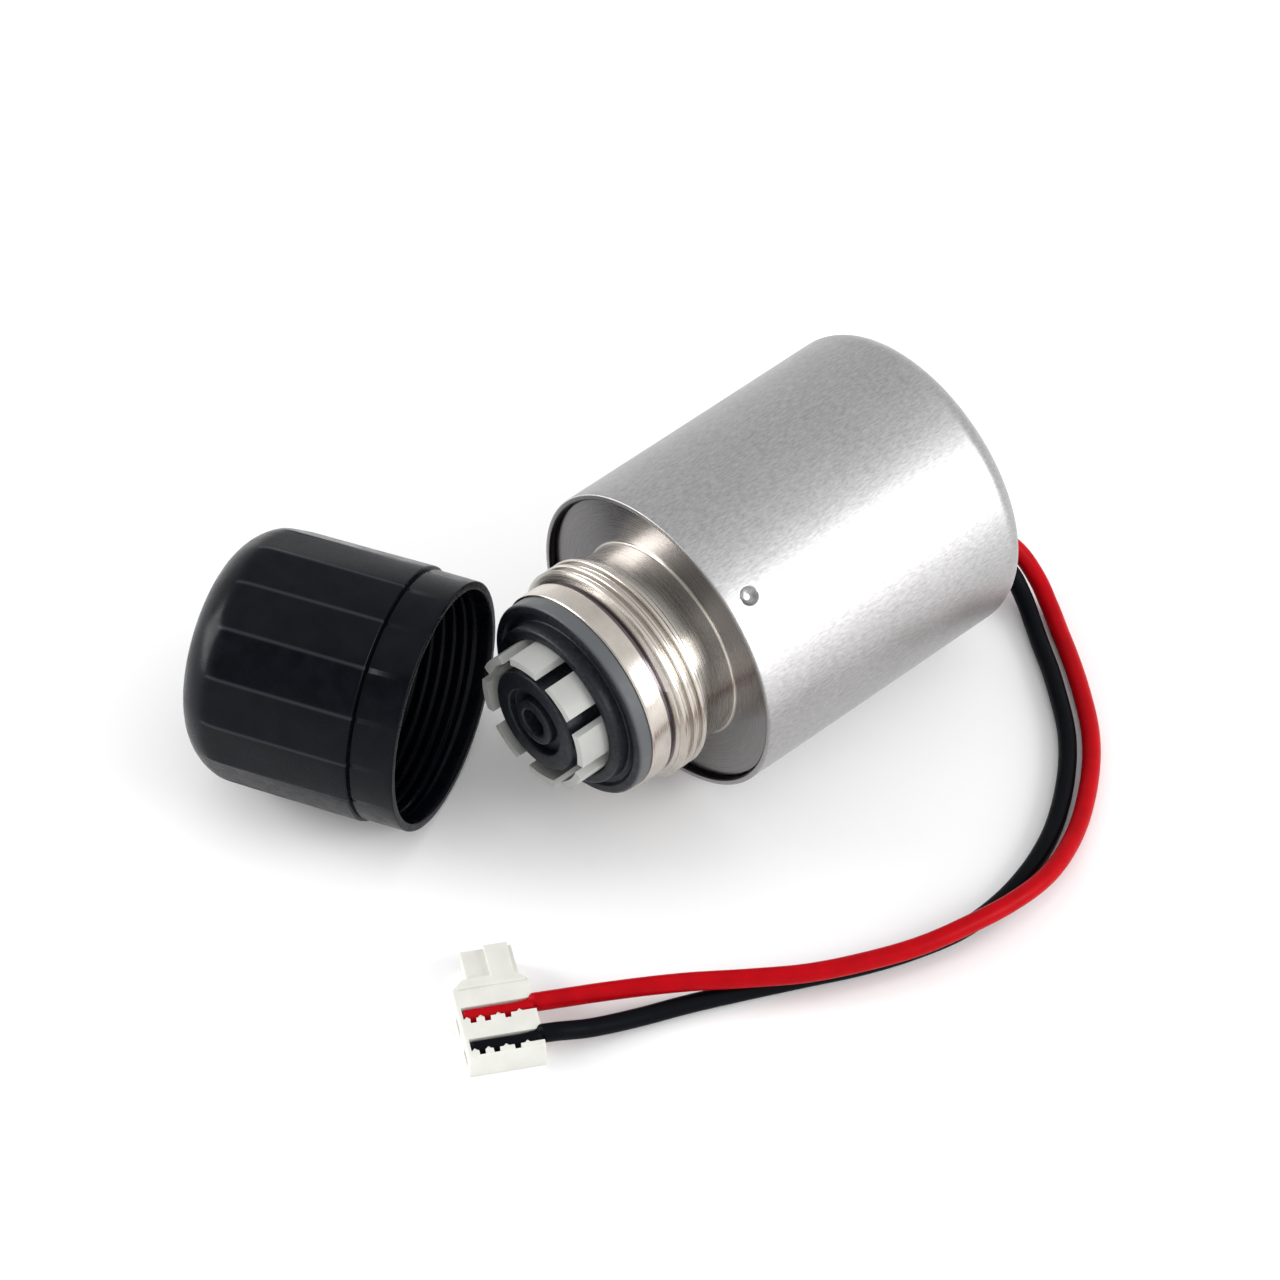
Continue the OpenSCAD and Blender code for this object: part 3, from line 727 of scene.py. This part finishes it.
def grommet():
    """Rubber grommet with rounded edges and two lead holes."""
    curve = bpy.data.curves.new("grommet_outline", "CURVE")
    curve.dimensions = "2D"
    curve.fill_mode = "BOTH"
    curve.resolution_u = 24
    bevel, outer_r, hole_r = 0.14, 2.7, 0.82
    quarter_handle = 0.5523     # a Bezier handle, as a share of the radius, for a quarter circle
    for centre, radius in ((exit_at, outer_r - bevel), (red_exit, hole_r + bevel),
                           (black_exit, hole_r + bevel)):
        spline = curve.splines.new("BEZIER")
        spline.bezier_points.add(3)
        spline.use_cyclic_u = True
        for k, point in enumerate(spline.bezier_points):
            a = tau * k / 4
            at = Vector((centre[0] + radius * cos(a), centre[1] + radius * sin(a), 0)) * MM
            along = Vector((-sin(a), cos(a), 0)) * radius * quarter_handle * MM
            point.co, point.handle_left, point.handle_right = at, at - along, at + along
    thick = grommet_face - can_end
    curve.extrude = (thick / 2 - bevel) * MM
    curve.bevel_depth = bevel * MM
    curve.bevel_resolution = 3
    obj = bpy.data.objects.new("grommet_outline", curve)
    bpy.context.scene.collection.objects.link(obj)
    bpy.context.view_layer.update()
    mesh = bpy.data.meshes.new_from_object(obj.evaluated_get(bpy.context.evaluated_depsgraph_get()))
    bpy.data.objects.remove(obj)
    bm = bmesh.new()
    bm.from_mesh(mesh)
    bmesh.ops.remove_doubles(bm, verts=bm.verts, dist=1e-6)
    place = Matrix.Translation((0, (can_end + thick / 2) * MM, 0)) @ Matrix.Rotation(radians(90), 4, "X")
    piece("lead_seal", bm, "rubber", "root", "lead_grommet", place=place)


grommet()

# ---- Threaded base ------------------------------------------------------------------------------------


def ridge(turns):
    """The height of a rounded thread ridge, from 0 in the root to 1 on the crest."""
    off_crest = abs((turns % 1) - 0.5)
    t = clamped((0.4 - off_crest) / 0.28)
    return t * t * (3 - 2 * t)


def threaded(radius, y, angle):
    """One right-hand helical ridge, faded in and out at its ends."""
    if abs(radius - thread_root) > 1e-4:
        return radius
    run_in = 0.3
    fade = clamped(min(y - thread_front + 0.12, thread_back + 0.15 - y) / run_in)
    height = ridge((y - thread_front) / pitch + angle / tau) * fade
    return thread_root + (thread_r - thread_root) * height


def base():
    """Turned base: a plain land, a relief groove, the thread, a collar, and a grooved disc."""
    pocket_r, pocket_end, tube_hole_r = 7.65, -4, 5.2
    groove_front, groove_back, groove_r = stake_y - 1.12, stake_y + 1.13, disc_r - 0.6
    row = 0.045
    rows = ceil((thread_back - thread_front + 0.3) / row)
    outline = rounded([(pocket_r, neck_y, 0.1), (land_r, neck_y, 0.22), (land_r, relief_front - 0.1, 0.12),
                       (relief_r, relief_front, 0.1), (relief_r, relief_back, 0.1)])
    outline += [Vector((thread_root, thread_front + row * k)) for k in range(rows)]
    outline += rounded([(thread_root, thread_back + 0.25), (collar_r, thread_back + 0.5, 0.1),
                        (collar_r, 0, 0.28), (disc_r - 0.02, 0, 0.22), (disc_r, 0.3),
                        (disc_r, groove_front), (groove_r, groove_front), (groove_r, groove_back),
                        (disc_r, groove_back), (disc_r, disc_back, 0.1), (tube_hole_r, disc_back),
                        (tube_hole_r, pocket_end), (pocket_r, pocket_end), (pocket_r, neck_y + 1)])
    bm = turned(outline, even_turn(300), threaded)
    piece("base_turning", bm, "nickel", "root", "threaded_base", sharp=50)


base()

# ---- Nose ---------------------------------------------------------------------------------------------

teeth, first_tooth, hub_r, tooth_w = 8, radians(56.4), 4.75, 3.2


def nose_seal():
    """Rubber sealing ring: a flange with a rounded edge, a shallow groove and a raised lip."""
    bore_r, lip_r, face_y, back_y = 6.35, 7.4, -10.65, neck_y
    edge = seal_r - 0.02
    outline = rounded([(7.65, back_y), (7.65, -10.05), (bore_r, -10.05), (bore_r, lip_y, 0.34),
                       (lip_r, lip_y, 0.42), (lip_r + 0.05, face_y + 0.3, 0.2),
                       (lip_r + 0.6, face_y + 0.22, 0.2), (lip_r + 0.85, face_y, 0.15),
                       (edge, face_y, 0.5), (edge, back_y, 0.06)], 6)
    piece("nose_seal", turned(outline, even_turn(180)), "black_rubber", "root", "sealing_ring", sharp=60)


nose_seal()


def nozzle():
    """Rubber hub: an outer ring, a groove, and a raised nozzle ring round the outlet."""
    hub_y, inlet_circle_r, inlet_r = nose_y + 0.15, 5.5, 0.45
    outline = rounded([
        (0.6, -7.05), (0.6, hub_y + 1.2, 0.05), (1.2, hub_y + 1.1, 0.1), (1.25, nose_y + 0.05, 0.2),
        (2.15, nose_y + 0.05, 0.25), (2.2, hub_y + 0.7, 0.1), (3.05, hub_y + 0.7, 0.1), (3.1, hub_y, 0.18),
        (hub_r, hub_y, 0.4), (hub_r, -10.1), (7.6, -10.1), (7.6, -8), (6.9, -8), (6.9, -6.9), (7.6, -6.9),
        (7.6, -5.6), (6.1, -5.6), (6.1, -8.6), (1.9, -8.6), (0.95, -7.05)])
    bm = turned(outline, even_turn(144))
    holes = []
    for k in range(teeth):
        a = first_tooth + pi / teeth + tau * k / teeth
        holes.append(drill(inlet_circle_r * cos(a), -9.4, inlet_circle_r * sin(a), inlet_r, 20))
    bm = combined(bm, holes, "DIFFERENCE")
    piece("nozzle_insert", bm, "black_rubber", "root", "seat_insert", sharp=50)


nozzle()


def cage():
    """Moulded cage: a ring behind the seal's lip and eight teeth with rounded corners."""
    inner_r, tooth_in_r, tooth_back = hub_r + 0.08, teeth_r - 0.7, -10.6
    bm = turned(rounded([(inner_r, cage_back - 0.02), (6.28, cage_back - 0.02), (6.28, tooth_back, 0.1),
                         (inner_r, tooth_back, 0.1)]), even_turn(144))
    half = tooth_w / 2
    outer = turned([(tooth_in_r, tooth_back + 0.3), (teeth_r, tooth_back + 0.3), (teeth_r, nose_y),
                    (tooth_in_r, nose_y)], even_turn(144))
    crown = []
    for k in range(teeth):
        a = first_tooth + tau * k / teeth
        block = box_mesh((hub_r - 1, nose_y - 1, -half), (hub_r + 2, tooth_back + 0.2, half))
        block.transform(Matrix.Rotation(-a, 4, "Y"))
        tooth = combined(block, [outer.copy()], "INTERSECT")
        crown.append(bevelled(tooth, 0.22, 4, 50))
    outer.free()
    bm = combined(bm, crown, "UNION")
    piece("tooth_crown", bm, "grey_plastic", "root", "tooth_cage", sharp=60)


cage()

# ---- Return spring ----------------------------------------------------------------------------------


def spring():
    """A round-wire spring between the plunger's pocket and the pole piece."""
    low, high = corner_mm("return_spring", 0), corner_mm("return_spring", 1)
    wire_r, turns, steps = 0.2, 8, 24
    coil_r = high.z - wire_r
    start, end = low.y + wire_r, high.y - wire_r
    line = []
    for k in range(turns * steps + 1):
        angle = tau * k / steps
        line.append(Vector((coil_r * cos(angle), start + (end - start) * k / (turns * steps),
                            coil_r * sin(angle))) * MM)
    obj = piece("return_spring_wire", swept(line, lambda i, angle: wire_r, 14), "spring_steel", None,
                "return_spring", sharp=60)
    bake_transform(obj)


spring()

# ---- Thread cap ---------------------------------------------------------------------------------------

cap_sides, cap_draft, cap_turn = 16, radians(1.2), radians(25.5)
cap_grip, cap_len, cap_round, cap_flats = 16.6, 20.7, 5.0, 22.3
cap_apothem = cap_flats / 2 - cap_grip * tan(cap_draft)
cap_collar_r, cap_bore_r, cap_bore_start = 10.9, 10.1, 5.5
cap_end_r = cap_flats / 2 / cos(pi / cap_sides) - 0.2
cap_at = Vector((-26.9, -26, floor_z + cap_apothem * cos(cap_draft)))
cap_thread_h, bead_h, bead_half = 0.14, 0.07, radians(1.0)
cap_outer, cap_thread = 11.5, 10.05     # radii that mark the rows which cap_surface() shapes


def from_flat(angle):
    """How far an angle is from the middle of the grip's nearest flat."""
    return (angle + pi / 2 + pi / cap_sides) % (tau / cap_sides) - pi / cap_sides


def bead(flat):
    """The fine bead on each corner of the grip, from 0 beside it to 1 on top."""
    off = (pi / cap_sides - abs(flat)) / bead_half
    return max(1 - off * off, 0)


def cap_surface(radius, y, angle):
    """The grip's drafted flats with eased corners, and the thread inside the mouth."""
    if abs(radius - cap_outer) < 1e-4:
        flat = from_flat(angle)
        apothem = cap_apothem + y * tan(cap_draft)
        eased = apothem / cos(pi / cap_sides) - 0.05
        side = smin(apothem / cos(flat), eased, 0.05) + bead_h * bead(flat)
        drop = max(cap_round - y, 0)
        dome = cap_end_r - cap_round + sqrt(max(cap_round**2 - drop**2, 0))
        return smin(side, dome, 0.12)
    if abs(radius - cap_thread) < 1e-4:
        fade = clamped(min((y - 8) / 0.8, (cap_len - 1.3 - y) / 0.5))
        return cap_bore_r - cap_thread_h * ridge(y / pitch - angle / tau) * fade
    return radius


def cap():
    """Moulded cap: a rounded end, a grip with flats, a groove, a plain collar and a threaded bore."""
    corner, highlight_start, row = pi / cap_sides, 1.5, 0.07
    spread = (-1, -0.96, -0.915, -0.86, -0.5, 0, 0.5, 0.86, 0.915, 0.96)
    angles = sorted((-pi / 2 + 2 * corner * k + corner * s) % tau
                    for k in range(cap_sides) for s in spread)
    dome = [cap_round - cap_round * cos(radians(4 * k)) for k in range(1, 23)]
    outline = [Vector((0, 0)), Vector((3, 0)), Vector((cap_end_r - cap_round, 0.001))]
    outline += [Vector((cap_outer, y)) for y in dome + [5.4, 6, 7, 9, 11, 13, 15, cap_grip - 0.1]]
    groove_r = cap_collar_r - 0.12
    outline += [Vector((cap_collar_r + 0.18, cap_grip)), Vector((groove_r, cap_grip + 0.02)),
                Vector((groove_r, cap_grip + 0.22)), Vector((cap_collar_r, cap_grip + 0.34))]
    outline += rounded([(cap_collar_r, cap_len - 0.6), (cap_collar_r, cap_len, 0.14),
                        (cap_bore_r + 0.1, cap_len, 0.12), (cap_bore_r, cap_len - 0.5)])
    rows = ceil((cap_len - 1.2 - 7.6) / row)
    outline += [Vector((cap_thread, cap_len - 1.2 - row * k)) for k in range(rows)]
    outline += rounded([(cap_bore_r - 0.1, cap_bore_start + 0.4, 0.2), (8.8, cap_bore_start - 1.4, 0.5),
                        (8.8, 1.8, 1.4), (0, 1.3)])
    bm = turned(outline, angles, cap_surface)
    # painted highlight along the grip's corners, kept in a vertex attribute that the finish reads
    corner_highlight = bm.verts.layers.float.new("corner_highlight")
    for vert in bm.verts:
        x, y, z = vert.co / MM
        if hypot(x, z) > cap_collar_r - 0.05 and highlight_start < y < cap_grip:
            vert[corner_highlight] = bead(from_flat(atan2(z, x))) * min(1, (y - highlight_start) / 2)
    place = (Matrix.Translation(cap_at * MM) @ Matrix.Rotation(cap_turn - pi / 2, 4, "Z")
             @ Matrix.Rotation(cap_draft, 4, "X"))
    piece("cap_moulding", bm, "black_plastic", "cap", "thread_cap", place=place, sharp=75)


cap()

# ---- Stage and light ----------------------------------------------------------------------------------


def floor():
    """A plain pale floor, just under the object."""
    bm = bmesh.new()
    bmesh.ops.create_grid(bm, x_segments=1, y_segments=1, size=6)
    mesh = bpy.data.meshes.new("floor")
    bm.to_mesh(mesh)
    bm.free()
    obj = bpy.data.objects.new("floor", mesh)
    obj.location = (0, 0, floor_z * MM - 0.00002)
    bpy.context.scene.collection.objects.link(obj)
    paper = Finish("paper", (0.97, 0.97, 0.97), 0.9)
    mesh.materials.append(paper.material)


def softbox(name, direction, distance, size, power):
    """A rectangular area light that faces the object from a direction."""
    light = bpy.data.lights.new(name, "AREA")
    light.shape = "RECTANGLE"
    light.size, light.size_y = size
    light.energy = power
    obj = bpy.data.objects.new(name, light)
    away = Vector(direction).normalized()
    obj.location = away * distance
    obj.rotation_mode = "QUATERNION"
    obj.rotation_quaternion = (-away).to_track_quat("-Z", "Y")
    bpy.context.scene.collection.objects.link(obj)


def surroundings():
    """A pale room with two darker stretches: over the back left, and high in front."""
    back_left, high_front = (-0.49, 0.45, 0.74), (0.03, -0.68, 0.73)
    world = bpy.data.worlds.new("room")
    world.use_nodes = True
    tree = world.node_tree
    background = tree.nodes["Background"]
    coord = tree.nodes.new("ShaderNodeTexCoord")
    fades = []
    for direction, start, end, darkest in ((back_left, 0.70, 0.97, 0.78), (high_front, 0.86, 0.97, 0.25)):
        towards = tree.nodes.new("ShaderNodeVectorMath")
        towards.operation = "DOT_PRODUCT"
        towards.inputs[1].default_value = Vector(direction).normalized()
        tree.links.new(coord.outputs["Generated"], towards.inputs[0])
        fade = tree.nodes.new("ShaderNodeMapRange")
        for socket, number in zip(("From Min", "From Max", "To Min", "To Max"), (start, end, 1, darkest)):
            fade.inputs[socket].default_value = number
        tree.links.new(towards.outputs["Value"], fade.inputs["Value"])
        fades.append(fade.outputs["Result"])
    both = tree.nodes.new("ShaderNodeMath")
    both.operation = "MULTIPLY"
    tree.links.new(fades[0], both.inputs[0])
    tree.links.new(fades[1], both.inputs[1])
    tree.links.new(both.outputs[0], background.inputs["Strength"])
    background.inputs["Color"].default_value = (1.04, 1.04, 1.05, 1)
    bpy.context.scene.world = world


floor()
softbox("key", (0.82, 0.45, 0.40), 0.45, (0.24, 0.24), 1.2)
softbox("fill", (-0.75, -0.60, 0.30), 0.7, (0.4, 0.4), 4.0)
surroundings()

view = bpy.context.scene.view_settings
view.view_transform = "Standard"
view.look = "None"
